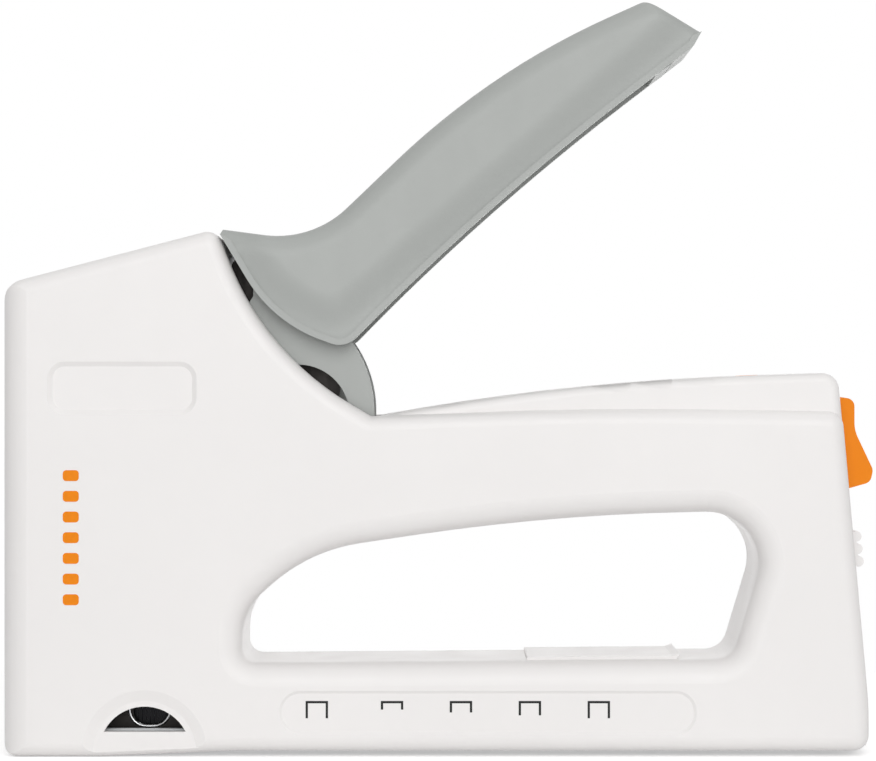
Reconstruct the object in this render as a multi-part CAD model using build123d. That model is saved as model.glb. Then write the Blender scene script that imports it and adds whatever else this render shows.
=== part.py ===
from build123d import *
import math
import os

# Hand staple gun at rest, lever up. Millimetres, +Z up, nose toward -X, the lettered side is -Y.
# The origin is the staple exit: under the driver blade, on the plane that the nose stands on.
# An outline is a list of side-view corners (x, z, round).

# Housing
HALF_WIDTH = 13.5
WALL = 2.2
EDGE_ROUND = 2.6
CORNER_ROUND = 2.8
FRONT_ROUND = 5.0
OPENING_ROUND = 4.0
NOSE_X = -6.1
HEEL_X = 145.3
NOSE_PAD = (11.0, 34.0)
BASE_Z = 0.96
HEEL_BEND_Z = 9.0
HEEL_ROUND = 60.0
GRIP_LEAN = 5.25
GRIP_TOP = 67.1
RIM_BEND = (93.0, 65.5)
RIM_ROUND = 450.0
MOUTH = (58.3, 59.45)
CREASE_Z = 60.3
CREASE_BEND = (97.0, 61.0)
CREASE_ROUND = 700.0
RIB_HALF = 11.3
RIB_ROUND = 1.6
SCOOP_BEND = (39.3, 70.7)
SCOOP_ROUND = 50.0
BROW = (31.4, 92.25)
FOREHEAD_Z = 82.5
FOREHEAD_ROUND = 4.5
RIM_SLOT_HALF = 4.2
SEAM_GAP = 0.02

# Finger opening: front, rear and crown of its outline, and the lap tongue on its floor
OPENING_FRONT = 35.8
OPENING_FLOOR = 16.3
OPENING_REAR = 15.9
OPENING_CROWN = 42.9
OPENING = [
    (OPENING_FRONT, OPENING_FLOOR, 2.5),
    (HEEL_X - OPENING_REAR - 7.9, OPENING_FLOOR + 0.65, 4.0),
    (HEEL_X - OPENING_REAR, OPENING_CROWN, 9.0),
    (90.0, OPENING_CROWN - 0.7, 380.0),
    (47.3, OPENING_CROWN - 7.1, 30.0),
    (OPENING_FRONT, OPENING_FLOOR + 9.1, 10.0),
]
TONGUE = (85.6, 111.2)
TONGUE_HEIGHT = 0.5
TONGUE_TAB = 1.2

# Side window over the staple channel, label pads of the near side
WINDOW = (18.9, 0.9)
WINDOW_RADIUS = 8.0
WINDOW_SILL = 4.5
WINDOW_DISH = (10.9, 9.0)
WINDOW_DISH_DEPTH = 0.6
UPPER_PAD = (2.0, 28.0, 59.7, 69.0)
UPPER_PAD_DEPTH = 0.6
UPPER_PAD_ROUND = 3.0
LOWER_PAD = (42.4, 115.0, 4.0, 11.7)
LOWER_PAD_DEPTH = 0.35
LOWER_PAD_ROUND = 3.6
PAD_DRAFT = 55.0

# Lever
PIVOT = (37.3, 60.2)
LEVER_TRAVEL = 35.5
LEVER_GAP = 0.35
LEVER_WALL = 2.0
LEVER_FLARE = 13.2
LEVER_HALF = 11.3
LEVER_ROUND = 4.0
LEVER_END_ROUND = 2.0
LEVER_TIP = (51.1, 89.8)
LEVER_SKIRT = (49.6, 70.5)
LEVER_SADDLE = (63.2, 78.5)
LEVER_CROWN = (106.4, 84.8)
LEVER_DEEP = 11.8
LEVER_LEAN = 4.4
FLARE_END = 56.0
SLIM_START = 72.0
FLARE_ROUND = 90.0
LIP_WIDTH = 1.1
LIP_HEIGHT = 0.35
ROOM_STEPS = 3
ROOM_SHIFT = (-3.0, -5.0)
PIN_RADIUS = 2.5
PIN_HALF = 12.0
PIN_END_GAP = 0.2
RUN_GAP = 0.05
SIDE_GAP = 0.3
CHEEK_INNER = 7.3
CHEEK_OUTER = 9.5
CHEEK_RADIUS = 21.5
HUB_RADIUS = 5.5
CROSSBAR = (10.65, 7.45)
CROSSBAR_HEIGHT = 1.1
RETURN_WIRE = 0.45
RETURN_PITCH = 1.5
RETURN_TURNS = 2
RETURN_LEG = 9.0

# Lifting arm and striker
ARM_REACH = 28.0
ARM_DROP = 26.0
ARM_HALF = 2.2
TIP_RADIUS = 3.0
ELBOW = (19.5, 46.2)
ELBOW_RADIUS = 4.2
ARM_TANG = (35.4, 85.6)
TANG_RADIUS = 2.2
ARM_HEEL = (48.2, 64.6)
HEEL_RADIUS = 4.4
LIFT_GAP = 0.35
LIFTER_PINS = [(35.5, 68.5), (40.5, 70.5)]
LIFTER_PIN_RADIUS = 1.5
BLADE_THICK = 1.0
BLADE_HALF = 5.5
BLADE_TIP_Z = 0.5
RAM_PLATE = 2.0
RAM_HALF = 6.0
RAM_FOOT_Z = 44.0
SHELF_THICK = 2.75
RIVET_RADIUS = 1.2
SPRING_X = 9.0
SPRING_RADIUS = 5.0
SPRING_WIRE = 0.7
SPRING_TURNS = 6
SEAT_Z = 81.0
SEAT_THICK = 1.2
SPIGOT_RADIUS = 3.6
NOSE_PLATE_THICK = 1.2
NOSE_PLATE_TOP = 38.0
BUMPER_THICK = 3.3

# Magazine
CROWN_HALF = 5.55
STAPLE_WIRE = 0.7
STAPLE_LEG = 8.0
STRIP_LENGTH = 36.0
FEED_GAP = 0.15
SHEET = 1.0
CHANNEL_TOP = 13.4
CHANNEL_FOOT = 1.4
CHANNEL_GAP = 0.65
CHANNEL_SHORT = 19.3
FLANGE_REACH = 2.4
CHANNEL_RIBS = (30.0, 60.0, 90.0, 118.0)
CHANNEL_RIB = 1.6
SIGHT_HOLE = (8.2, 6.9)
SIGHT_HOLE_Z = 8.3
RAIL_SHEET = 0.8
ROD_RADIUS = 1.5
ROD_Z = 7.0
PUSHER_LENGTH = 8.8
FEED_RADIUS = 2.5
FEED_WIRE = 0.3
FEED_TURNS = 16
CAP_HALF = 7.6
CAP_TOP = 39.8
CAP_THICK = 2.6
CAP_RIBS = 3
CAP_RIB_PITCH = 2.2
CAP_RIB_RADIUS = 0.95
CAP_GRIP = 1.1

# Handle lock
LATCH_INSET = 7.8
LATCH_Z = 59.5
LATCH_PIN_RADIUS = 1.5
LATCH_PIN_HALF = 8.8
LATCH_HALF = 5.0
HOOK_HALF = 3.2

# Housing screws, driven from the far side
SCREWS = [(26.5, 83.0), (29.5, 40.0), (22.0, 22.0), (96.0, 53.0), (HEEL_X - 12.8, 30.0)]
SCREW_RADIUS = 1.3
SCREW_HEAD = 2.7
SCREW_DEPTH = 7.5
BOSS_RADIUS = 3.4
HEAD_SINK = 4.0
HEAD_THICK = 2.0

# Places that follow from the sizes above
CAVITY_HALF = HALF_WIDTH - WALL
GRIP_END = (HEEL_X - GRIP_LEAN, GRIP_TOP)
LATCH_PIVOT = (HEEL_X - LATCH_INSET, LATCH_Z)
CHANNEL_END = HEEL_X - CHANNEL_SHORT
RIM_SLOPE = (RIM_BEND[1] - MOUTH[1]) / (RIM_BEND[0] - MOUTH[0])
REAR_SLOPE = (GRIP_END[1] - RIM_BEND[1]) / (GRIP_END[0] - RIM_BEND[0])
HEEL_SLOPE = (GRIP_END[0] - HEEL_X) / (GRIP_END[1] - HEEL_BEND_Z)
BLADE_FRONT = -BLADE_THICK / 2
BLADE_BACK = BLADE_THICK / 2
RAM_BACK = BLADE_BACK + RAM_PLATE
TIP_X = PIVOT[0] - ARM_REACH * math.cos(math.radians(ARM_DROP))
TIP_Z = PIVOT[1] - ARM_REACH * math.sin(math.radians(ARM_DROP))
SHELF_Z = TIP_Z + TIP_RADIUS + LIFT_GAP
SHELF_TOP = SHELF_Z + SHELF_THICK
SHELF_BACK = SPRING_X + SPRING_RADIUS + 1.0
CHANNEL_FRONT = BLADE_BACK + SIDE_GAP
CHANNEL_INNER = CROWN_HALF + CHANNEL_GAP
CHANNEL_OUTER = CHANNEL_INNER + SHEET
CROWN_TOP = CHANNEL_TOP - SHEET - FEED_GAP
RAIL_TOP = CROWN_TOP - STAPLE_WIRE - FEED_GAP
RAIL_HALF = CROWN_HALF - STAPLE_WIRE - FEED_GAP
STRIP_FRONT = CHANNEL_FRONT + 0.05
PUSHER_FRONT = STRIP_FRONT + STRIP_LENGTH + 0.3
PUSHER_BACK = PUSHER_FRONT + PUSHER_LENGTH
MAGAZINE_SLOT = CHANNEL_OUTER + SIDE_GAP


def outline(corners):
    """Face in the side view from corners (x, z, round)."""
    points = [(x, z) for x, z, r in corners]
    return make_face(FilletPolyline(*points, radius=[r for x, z, r in corners], close=True))


def slab(face, y_low, y_high):
    """A side-view face thickened across the body from y_low to y_high."""
    return extrude(Plane.XZ.offset(-y_high) * face, amount=y_high - y_low)


def block(x_low, x_high, y_low, y_high, z_low, z_high):
    """Box given by its limits."""
    middle = Pos((x_low + x_high) / 2, (y_low + y_high) / 2, (z_low + z_high) / 2)
    return middle * Box(x_high - x_low, y_high - y_low, z_high - z_low)


def disc(place, radius):
    """Round side-view face."""
    return Pos(*place) * Circle(radius)


def rod_across(place, radius, y_low, y_high):
    """Cylinder across the body."""
    return slab(disc(place, radius), y_low, y_high)


def upright(x, radius, z_low, z_high):
    """Vertical cylinder on the middle plane."""
    return Pos(x, 0, (z_low + z_high) / 2) * Cylinder(radius, z_high - z_low)


def on_both_sides(piece):
    """The piece and its mirror image across the middle plane."""
    return piece + mirror(piece, about=Plane.XZ)


def swing(piece, degrees):
    """Turn a piece about the lever's pivot, positive as the lever is squeezed."""
    home = Pos(PIVOT[0], 0, PIVOT[1])
    return home * Rot(0, degrees, 0) * home.inverse() * piece


def rear_x(z):
    """Rear face of the housing at a height."""
    return HEEL_X + min(0, HEEL_SLOPE * (z - HEEL_BEND_Z))


def rim_z(x):
    """Height of the grip's rim, as the two lines that its bend joins."""
    slope = RIM_SLOPE if x < RIM_BEND[0] else REAR_SLOPE
    return RIM_BEND[1] + slope * (x - RIM_BEND[0])


def side_edges(solid, y_limit):
    """Edges that lie in the two flat sides of a solid at y = +-y_limit."""
    flat = [f for f in solid.faces() if abs(abs(f.center().Y) - y_limit) < 1e-4]
    return [e for f in flat for e in f.edges()]


def coil(start, radius, pitch, turns):
    """Points and directions at each half turn of a coil about the local Z axis."""
    steps = round(turns * 2)
    slope = pitch / (2 * math.pi)
    stations = []
    for i in range(steps + 1):
        a = math.pi * i
        point = Vector(radius * math.cos(a), radius * math.sin(a), start + slope * a)
        stations.append((point, Vector(-radius * math.sin(a), radius * math.cos(a), slope).normalized()))
    return stations


def biarc(a, b):
    """Two tangent arcs from station a to station b, each a point and a direction."""
    (p, t), (q, u) = a, b
    v = q - p
    w = t + u
    k = w.dot(w) - 4
    d = (v.dot(w) - math.sqrt(v.dot(w) ** 2 - k * v.dot(v))) / k
    middle = (p + t * d + q - u * d) * 0.5
    return [Edge.make_tangent_arc(p, t, middle), Edge.make_tangent_arc(middle, q - u * d - p - t * d, q)]


def least_gap(path, wire, radius):
    """Smallest clear distance between points of a coiled wire that are over half a turn apart."""
    per_turn = 16
    count = round(per_turn * path.length / (2 * math.pi * radius))
    points = [path @ (i / count) for i in range(count + 1)]
    apart = per_turn * 5 // 8
    return min((q - p).length for i, p in enumerate(points) for q in points[i + apart:]) - 2 * wire


def wire_spring(stations, wire, lead=0.0):
    """Round wire swept along a coil, with straight ends of the given length."""
    edges = []
    first, last = stations[0], stations[-1]
    if lead:
        edges.append(Edge.make_line(first[0] - first[1] * lead, first[0]))
    for a, b in zip(stations, stations[1:]):
        edges += biarc(a, b)
    if lead:
        edges.append(Edge.make_line(last[0], last[0] + last[1] * lead))
    path = Wire(edges)
    radius = math.hypot(first[0].X, first[0].Y)
    print(f"coil of radius {radius}: least gap to itself {least_gap(path, wire, radius):.2f} mm")
    return sweep(Plane(path @ 0, z_dir=path % 0) * Circle(wire), path=path)


def housing_outline(top):
    """Side view of the housing, its grip closed by the given corners."""
    lower = [
        (NOSE_X, 0, CORNER_ROUND),
        (NOSE_PAD[0], 0, 0),
        (NOSE_PAD[1], BASE_Z, 0),
        (HEEL_X, BASE_Z, CORNER_ROUND),
        (HEEL_X, HEEL_BEND_Z, HEEL_ROUND),
    ]
    front = [
        (*MOUTH, 0.8),
        (*SCOOP_BEND, SCOOP_ROUND),
        (*BROW, CORNER_ROUND),
        (NOSE_X, FOREHEAD_Z, FOREHEAD_ROUND),
    ]
    return outline(lower + top + front)


def body_face():
    return housing_outline([(rear_x(CREASE_Z), CREASE_Z, CORNER_ROUND), (*CREASE_BEND, CREASE_ROUND)])


def rib_face():
    """The narrower rib of the grip between its crease and its rim."""
    root = CREASE_Z - 8
    start = MOUTH[0] + 0.3
    return outline([
        (start + 3.4, root, 0),
        (rear_x(root), root, 0),
        (*GRIP_END, 3.0),
        (*RIM_BEND, RIM_ROUND),
        (start, rim_z(start) - 0.2, 0),
    ])


def housing_block():
    """Outer form of the closed housing, with its finger opening."""
    body = slab(body_face(), -HALF_WIDTH, HALF_WIDTH)
    body = fillet(side_edges(body, HALF_WIDTH), EDGE_ROUND)
    body -= slab(outline(OPENING), -2 * HALF_WIDTH, 2 * HALF_WIDTH)
    rims = [
        e for e in side_edges(body, HALF_WIDTH)
        if OPENING_FRONT - 1 < e.center().X < HEEL_X - OPENING_REAR + 1
        and OPENING_FLOOR - 1 < e.center().Z < OPENING_CROWN + 1
    ]
    body = fillet(rims, OPENING_ROUND)
    rib = slab(rib_face(), -RIB_HALF, RIB_HALF)
    rib = fillet(side_edges(rib, RIB_HALF), RIB_ROUND)
    return body + rib - on_both_sides(front_corner())


def front_corner():
    """What the large rounding of a front upright edge takes away."""
    reach = FRONT_ROUND - SEAM_GAP
    corner = block(NOSE_X - 1, NOSE_X + reach, HALF_WIDTH - reach, HALF_WIDTH + 1, -1, BROW[1])
    core = Pos(NOSE_X + reach, HALF_WIDTH - reach, BROW[1] / 2) * Cylinder(FRONT_ROUND, 2 * BROW[1])
    return corner - core


def lap_tongue(gap=0.0):
    """Tongue of the far shell over the seam on the floor of the finger opening, or its room with a gap."""
    low, high = TONGUE
    front, rear = OPENING[0], OPENING[1]
    slope = (rear[1] - front[1]) / (rear[0] - front[0])
    floor = [front[1] + slope * (x - front[0]) for x in (low, high)]
    side = outline([
        (low, floor[0] - WALL / 2, 0),
        (high, floor[1] - WALL / 2, 0),
        (high + TONGUE_TAB, floor[1] + 2 * TONGUE_HEIGHT, 0),
        (high, floor[1] + TONGUE_HEIGHT, 0),
        (low, floor[0] + TONGUE_HEIGHT, 0.3),
    ])
    reach = HALF_WIDTH - OPENING_ROUND + gap
    return slab(offset(side, gap) if gap else side, -reach, reach)


def housing_cavity():
    """Room inside the walls, round the finger opening."""
    ring = offset(body_face(), -WALL) - offset(outline(OPENING), WALL)
    rib_half = RIB_HALF - WALL
    return slab(ring, -CAVITY_HALF, CAVITY_HALF) + slab(offset(rib_face(), -WALL), -rib_half, rib_half)


def housing_mouths():
    """Openings of the housing: lever mouth, rim slot, lock, magazine and its end."""
    mouth_half = CHEEK_OUTER + 0.7
    mouth = outline([
        (BROW[0] + 1.9, BROW[1] - 3.0, 0),
        (SCOOP_BEND[0] - 9, SCOOP_BEND[1], 0),
        (SCOOP_BEND[0] + 11, MOUTH[1] - 4, 0),
        (MOUTH[0] + 1.6, MOUTH[1] - 3, 0),
        (MOUTH[0] + 1.6, MOUTH[1] + 6, 0),
        (BROW[0] + 14, BROW[1], 0),
    ])
    cuts = slab(mouth, -mouth_half, mouth_half)
    rear = LATCH_PIVOT[0] - 0.5
    cuts += block(MOUTH[0], rear - 3, -RIM_SLOT_HALF, RIM_SLOT_HALF, CREASE_Z - 4, GRIP_END[1] + 5)
    latch = LATCH_HALF + 0.4
    cuts += block(rear, HEEL_X + 9, -latch, latch, LATCH_Z - 14.7, LATCH_Z + 4.2)
    cap = CAP_HALF + SIDE_GAP
    cuts += block(rear, HEEL_X + 9, -cap, cap, -1, CAP_TOP + SIDE_GAP)
    slot_front = BLADE_FRONT - SIDE_GAP - NOSE_PLATE_THICK - SIDE_GAP
    cuts += block(slot_front, HEEL_X + 9, -MAGAZINE_SLOT, MAGAZINE_SLOT, -1, BASE_Z + WALL + 0.05)
    sill = Pos(WINDOW[0], WINDOW_SILL + 10) * Rectangle(40, 20)
    cuts += slab(disc(WINDOW, WINDOW_RADIUS) & sill, -2 * HALF_WIDTH, 2 * HALF_WIDTH)
    dish = Cone(*WINDOW_DISH, WINDOW_DISH_DEPTH, align=(Align.CENTER, Align.CENTER, Align.MIN))
    cuts += on_both_sides(Pos(WINDOW[0], HALF_WIDTH, WINDOW[1]) * Rot(90, 0, 0) * dish)
    return cuts


def housing_ribs():
    """Ribs and bosses of the far shell; the near shell has their mirror image."""
    wall = CAVITY_HALF + 0.5
    blade_guide = BLADE_HALF + 0.5
    ram_guide = RAM_HALF + SIDE_GAP
    plate_back = BLADE_FRONT - SIDE_GAP
    plate_front = plate_back - NOSE_PLATE_THICK
    ribs = block(NOSE_X + 1, plate_front, 2.0, 7.0, BASE_Z + WALL, NOSE_PLATE_TOP)
    ribs += block(plate_back, BLADE_BACK, blade_guide, wall, CHANNEL_TOP + 2, NOSE_PLATE_TOP)
    for x in (RAM_BACK + 0.6, SHELF_BACK - 2.2):
        ribs += block(x, x + 1.8, ram_guide, wall, RAM_FOOT_Z, SEAT_Z)
    ribs += block(SPRING_X - 5, SPRING_X + 5, 3.0, 5.0, SEAT_Z + SEAT_THICK, BROW[1])
    bumper_low = RAM_FOOT_Z - SIDE_GAP - BUMPER_THICK
    ribs += block(BLADE_BACK + 0.4, BLADE_BACK + 6.0, 2.0, wall, bumper_low - 3, bumper_low)
    for x in CHANNEL_RIBS:
        foot = BASE_Z + WALL + SHEET + SIDE_GAP
        ribs += block(x, x + CHANNEL_RIB, CHANNEL_OUTER, wall, foot, OPENING_FLOOR - 1)
        ribs += block(x, x + CHANNEL_RIB, 0.5, wall, CHANNEL_TOP, OPENING_FLOOR - 1)
    ribs += rod_across(PIVOT, HUB_RADIUS, CHEEK_OUTER + SIDE_GAP, wall)
    ribs += rod_across(LATCH_PIVOT, LATCH_PIN_RADIUS + 1.7, LATCH_HALF + 0.6, RIB_HALF - 1)
    for place in SCREWS:
        ribs += rod_across(place, BOSS_RADIUS, 0, wall)
    return ribs


def pivot_bores():
    """Blind seats of the lever pin and the latch pin in both shells."""
    reach = PIN_HALF + PIN_END_GAP
    cuts = rod_across(PIVOT, PIN_RADIUS + SEAM_GAP, -reach, reach)
    reach = LATCH_PIN_HALF + PIN_END_GAP
    return cuts + rod_across(LATCH_PIVOT, LATCH_PIN_RADIUS + SEAM_GAP, -reach, reach)


def screw(place, radius, head, gap=0.0):
    """One screw with its head sunk in the far shell, or its room with a gap."""
    head_y = HALF_WIDTH - HEAD_SINK
    piece = rod_across(place, radius + gap, -SCREW_DEPTH - gap, head_y)
    return piece + rod_across(place, head + gap, head_y, head_y + HEAD_THICK)


def pad(limits, depth, radius):
    """Shallow label recess of the near side with drafted walls."""
    x_low, x_high, z_low, z_high = limits
    side = Plane((0, -HALF_WIDTH, 0), x_dir=(1, 0, 0), z_dir=(0, 1, 0))
    middle = Pos((x_low + x_high) / 2, -(z_low + z_high) / 2)
    face = side * middle * RectangleRounded(x_high - x_low, z_high - z_low, radius)
    return extrude(face, amount=depth, taper=PAD_DRAFT)


def shells():
    """Left (near) and right (far) housing halves."""
    whole = housing_block()
    hollow = whole - housing_cavity()
    ribs = on_both_sides(housing_ribs()) & whole
    hollow = hollow + ribs - housing_mouths() - pivot_bores()
    for place in SCREWS:
        hollow -= screw(place, SCREW_RADIUS, SCREW_HEAD, SEAM_GAP)
        hollow -= rod_across(place, SCREW_HEAD + 0.3, HALF_WIDTH - HEAD_SINK, 2 * HALF_WIDTH)
    span = 3 * HEEL_X
    near_half = block(-span, span, -span, -SEAM_GAP / 2, -span, span)
    far_half = block(-span, span, SEAM_GAP / 2, span, -span, span)
    near = (hollow & near_half) - lap_tongue(SEAM_GAP)
    near -= pad(UPPER_PAD, UPPER_PAD_DEPTH, UPPER_PAD_ROUND)
    near -= pad(LOWER_PAD, LOWER_PAD_DEPTH, LOWER_PAD_ROUND)
    return near, (hollow & far_half) + lap_tongue()


def lever_face():
    """Side view of the lever as it lies squeezed on the grip."""
    toe = MOUTH[0] - 1.1
    heel = GRIP_END[0] - 2.6
    return outline([
        (LEVER_TIP[0] - 0.1, LEVER_TIP[1] - 1.2, 0),
        (*LEVER_SKIRT, 25.0),
        (toe, rim_z(toe) + LEVER_GAP, 4.0),
        (RIM_BEND[0], RIM_BEND[1] + LEVER_GAP, RIM_ROUND),
        (heel, rim_z(heel) + LEVER_GAP, 1.5),
        (GRIP_END[0], GRIP_END[1] + 1.5, 0),
        (GRIP_END[0] - LEVER_LEAN, GRIP_END[1] + LEVER_DEEP, 0),
        (*LEVER_CROWN, 133.0),
        (*LEVER_SADDLE, 17.5),
        (LEVER_TIP[0] + 0.75, LEVER_TIP[1] - 0.7, 0),
    ])


def lever_plan(grow):
    """Plan view of the lever: flared over the mouth, slim along the grip."""
    flare, slim = LEVER_FLARE + grow, LEVER_HALF + grow
    half = [(MOUTH[0] - 20, flare), (FLARE_END, flare), (SLIM_START, slim), (HEEL_X, slim)]
    points = half + [(x, -y) for x, y in reversed(half)]
    rounds = [0, FLARE_ROUND, FLARE_ROUND, 0]
    face = make_face(FilletPolyline(*points, radius=rounds + rounds, close=True))
    return extrude(Pos(0, 0, MOUTH[1] - 20) * face, amount=70)


def lever_form(face, grow, top_round):
    """Full lever between its side view and its plan, both long top edges rounded."""
    body = slab(face, -2 * HALF_WIDTH, 2 * HALF_WIDTH) & lever_plan(grow)
    end = GRIP_END[0] - LEVER_LEAN - 1
    tops = [
        e for e in body.edges()
        if abs(e.center().Y) > LEVER_HALF / 2 and LEVER_TIP[0] + 2.4 < e.center().X < end
        and min((e @ 0).Z, (e @ 1).Z) > rim_z(e.center().X) + LEVER_DEEP / 2
    ]
    return fillet(tops, top_round)


def lever_lip(face):
    """Band along the skirt and the lower edge that stands out from the lever's sides."""
    front, foot = LEVER_SKIRT[0] - 5, MOUTH[1] - 5
    keep = outline([
        (front, LEVER_TIP[1] - 1.2, 0),
        (LEVER_TIP[0] - 0.1, LEVER_TIP[1] - 1.2, 0),
        (LEVER_SADDLE[0] - 4, LEVER_SADDLE[1] - 8, 0),
        (GRIP_END[0] - 12, GRIP_TOP + 4, 0),
        (GRIP_END[0], GRIP_END[1] + 1.5, 0),
        (GRIP_END[0], foot, 0),
        (front, foot, 0),
    ])
    band = (face - offset(face, -LIP_WIDTH)) & keep
    return slab(band, -2 * HALF_WIDTH, 2 * HALF_WIDTH) & lever_plan(LIP_HEIGHT)


def lever_shell():
    """Hollow lever body as squeezed: rounded top, open below and in front, with a lip and a crossbar."""
    face = lever_face()
    body = lever_form(face, 0, LEVER_ROUND)
    rear = body.faces().filter_by(lambda f: f.center().Z > GRIP_TOP + 3).sort_by(Axis.X)[-1]
    brow = [e for e in rear.edges() if e.center().Z > GRIP_TOP + 3]
    body = fillet(brow, LEVER_END_ROUND) + lever_lip(face)
    room = lever_form(offset(face, -LEVER_WALL), -LEVER_WALL, LEVER_ROUND - LEVER_WALL)
    for step in range(ROOM_STEPS):
        body -= Pos(step * ROOM_SHIFT[0], 0, step * ROOM_SHIFT[1]) * room
    bar_z = rim_z(GRIP_END[0] - CROSSBAR[0]) + LEVER_GAP
    bar = block(
        GRIP_END[0] - CROSSBAR[0], GRIP_END[0] - CROSSBAR[1], 1 - LEVER_HALF, LEVER_HALF - 1,
        bar_z, bar_z + CROSSBAR_HEIGHT,
    )
    return body + bar


def lever_up(face):
    """A side view of the squeezed lever turned to where the lever is up."""
    return Pos(*PIVOT) * Rot(0, 0, LEVER_TRAVEL) * Pos(-PIVOT[0], -PIVOT[1]) * face


def lever_section():
    """Side view of the hollow lever's walls on the middle plane, with the lever up."""
    face = lever_face()
    room = offset(face, -LEVER_WALL)
    for step in range(ROOM_STEPS):
        face -= Pos(step * ROOM_SHIFT[0], step * ROOM_SHIFT[1]) * room
    return lever_up(face)


def cheek_face():
    """Side view of a lever cheek with the lever up: sector, hub, neck and cut-out."""
    x, z = PIVOT
    sector = outline([
        (x - HUB_RADIUS, z, 0),
        (x - 4.8, z + 12, 0),
        (x + 0.3, z + 20.3, 0),
        (x + 0.3, z + 30, 0),
        (x + 40, z + 30, 0),
        (x + 40, z - 0.6, 0),
        (x + 6, z - HUB_RADIUS, 0),
        (x, z - HUB_RADIUS, 0),
    ])
    inside = offset(lever_face(), -0.75 * LEVER_WALL) - Pos(SLIM_START + 50, z + 20) * Rectangle(104, 90)
    web = (disc(PIVOT, CHEEK_RADIUS) & sector) + (lever_up(inside) & sector)
    cut = disc((x + 8.2, z - 0.7), 9.0) & Pos(x + 5 + 10, z) * Rectangle(20, 40)
    return web + disc(PIVOT, HUB_RADIUS) - cut


def lever():
    cheeks = on_both_sides(slab(cheek_face(), CHEEK_INNER, CHEEK_OUTER))
    piece = swing(lever_shell(), -LEVER_TRAVEL) + cheeks
    piece -= rod_across(PIVOT, PIN_RADIUS + RUN_GAP, -HALF_WIDTH, HALF_WIDTH)
    for place in LIFTER_PINS:
        piece -= rod_across(place, LIFTER_PIN_RADIUS + SEAM_GAP, -HALF_WIDTH, HALF_WIDTH)
    return piece


def lifter_arm():
    """Steel arm on the lever's pivot: tip under the ram, tang in the lever, heel behind the cheeks."""
    hub_edges = disc(PIVOT, HUB_RADIUS).edges()
    elbow_edges = disc(ELBOW, ELBOW_RADIUS).edges()
    pin_edges = [e for place in LIFTER_PINS for e in disc(place, LIFTER_PIN_RADIUS + 1.6).edges()]
    face = make_hull(hub_edges + elbow_edges)
    face += make_hull(elbow_edges + disc((TIP_X, TIP_Z), TIP_RADIUS).edges())
    face += make_hull(hub_edges + pin_edges)
    face += make_hull(hub_edges + disc(ARM_HEEL, HEEL_RADIUS).edges())
    tang = make_hull(pin_edges + disc(ARM_TANG, TANG_RADIUS).edges())
    face += tang - offset(lever_section(), SIDE_GAP)
    piece = slab(face, -ARM_HALF, ARM_HALF)
    hub = CHEEK_INNER - SIDE_GAP
    piece += rod_across(PIVOT, HUB_RADIUS - 0.5, -hub, hub)
    piece -= rod_across(PIVOT, PIN_RADIUS + RUN_GAP, -HALF_WIDTH, HALF_WIDTH)
    for place in LIFTER_PINS:
        piece -= rod_across(place, LIFTER_PIN_RADIUS + SEAM_GAP, -HALF_WIDTH, HALF_WIDTH)
    return piece


def lifter_pins():
    """Two headed pins that join the arm to both cheeks."""
    pins = []
    for place in LIFTER_PINS:
        shank = rod_across(place, LIFTER_PIN_RADIUS, -CHEEK_OUTER - 0.7, CHEEK_OUTER + 0.7)
        head = rod_across(place, LIFTER_PIN_RADIUS + 0.5, CHEEK_OUTER, CHEEK_OUTER + 0.7)
        pins.append(shank + on_both_sides(head))
    return Compound(children=pins)


def lever_pivot_pin():
    return rod_across(PIVOT, PIN_RADIUS, -PIN_HALF, PIN_HALF)


def lever_return_spring():
    """Torsion coil round the arm's hub with two straight legs."""
    stations = coil(0, HUB_RADIUS + 2 * RETURN_WIRE, RETURN_PITCH, RETURN_TURNS)
    spring = wire_spring(stations, RETURN_WIRE, lead=RETURN_LEG)
    place = Pos(PIVOT[0], ARM_HALF + 1.0, PIVOT[1]) * Rot(-90, 0, 0) * Rot(0, 0, -175)
    return place * spring


def ram():
    """Slide behind the blade, with a gusseted shelf under the main spring."""
    piece = block(BLADE_BACK, RAM_BACK, -BLADE_HALF, BLADE_HALF, RAM_FOOT_Z, SHELF_TOP + 2)
    piece += block(RAM_BACK, SHELF_BACK, -RAM_HALF, RAM_HALF, SHELF_Z, SHELF_TOP)
    gusset = outline([(RAM_BACK, SHELF_Z, 0), (SHELF_BACK - 2, SHELF_Z, 0), (RAM_BACK, RAM_FOOT_Z, 0)])
    piece += on_both_sides(slab(gusset, BLADE_HALF - 1.4, BLADE_HALF))
    piece += upright(SPRING_X, SPIGOT_RADIUS, SHELF_TOP, SHELF_TOP + 3)
    for z in rivet_heights():
        piece -= rivet_shank(z, SEAM_GAP)
    return piece


def rivet_heights():
    return RAM_FOOT_Z + 2, SHELF_Z - 2


def rivet_shank(z, gap):
    """Rivet shank through blade and ram plate, or its hole with a gap."""
    length = BLADE_THICK + RAM_PLATE
    place = Pos(BLADE_FRONT + length / 2, 0, z) * Rot(0, 90, 0)
    return place * Cylinder(RIVET_RADIUS + gap, length + gap)


def driver_blade():
    """Flat striker blade whose tip closes the staple exit at rest."""
    piece = block(BLADE_FRONT, BLADE_BACK, -BLADE_HALF, BLADE_HALF, BLADE_TIP_Z, SHELF_TOP + 2)
    for z in rivet_heights():
        piece -= rivet_shank(z, SEAM_GAP)
    return piece


def ram_rivets():
    """Two flush rivets with a domed head behind the ram."""
    pins = []
    for z in rivet_heights():
        head = Pos(RAM_BACK + 0.3, 0, z) * Rot(0, 90, 0) * Cylinder(RIVET_RADIUS + 0.6, 0.6)
        pins.append(rivet_shank(z, 0) + head)
    return Compound(children=pins)


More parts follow.
